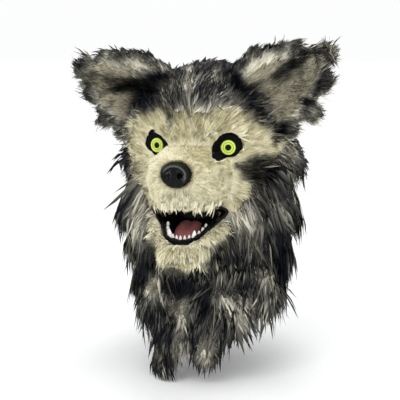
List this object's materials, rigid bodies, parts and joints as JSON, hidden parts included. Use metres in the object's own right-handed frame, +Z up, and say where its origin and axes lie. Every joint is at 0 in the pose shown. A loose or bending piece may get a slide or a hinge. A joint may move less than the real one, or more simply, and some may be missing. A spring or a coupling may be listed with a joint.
{
  "type": "wolf mask",
  "caption": "Full-head wolf mask with an open toothed mouth, folded ears, set-in eyes and a shaggy fur hood that falls to a bib, worn over the head.",
  "frame": {"origin": "inside of the crown, where the top of the wearer's head touches the shell", "axes": "+Z up along the head's axis; the muzzle points to -Y; +X is the wolf's left side"},
  "size_m": [0.3761, 0.3227, 0.4797],
  "materials": {
    "shell": "black moulded shell, satin",
    "gloss": "black, glossy",
    "iris": "bright yellow-green, glossy",
    "tooth": "white, glossy",
    "tongue": "muted red, satin",
    "face_fur": "cream short-pile faux fur",
    "hood_fur": "grey and black long-pile faux fur in waved locks",
    "lining": "beige short-pile faux fur",
    "cloth": "dark knitted backing of the fur"
  },
  "bodies": {
    "root": {"head_shell": "shell", "mouth_lining": "shell", "jaw": "shell", "eye_socket_left": "shell", "eye_socket_right": "shell", "iris_left": "iris", "iris_right": "iris", "pupil_left": "gloss", "pupil_right": "gloss", "nose": "gloss", "incisors": "tooth", "canine_left": "tooth", "canine_right": "tooth", "molars_left": "tooth", "molars_right": "tooth", "tongue": "tongue", "face_fur": "face_fur", "chin_fur": "face_fur", "hood_fur": "hood_fur", "neck_fur": "hood_fur", "neck_cloth": "cloth", "ear_left": "hood_fur", "ear_right": "hood_fur", "ear_lining_left": "lining", "ear_lining_right": "lining"}
  },
  "joints": []
}
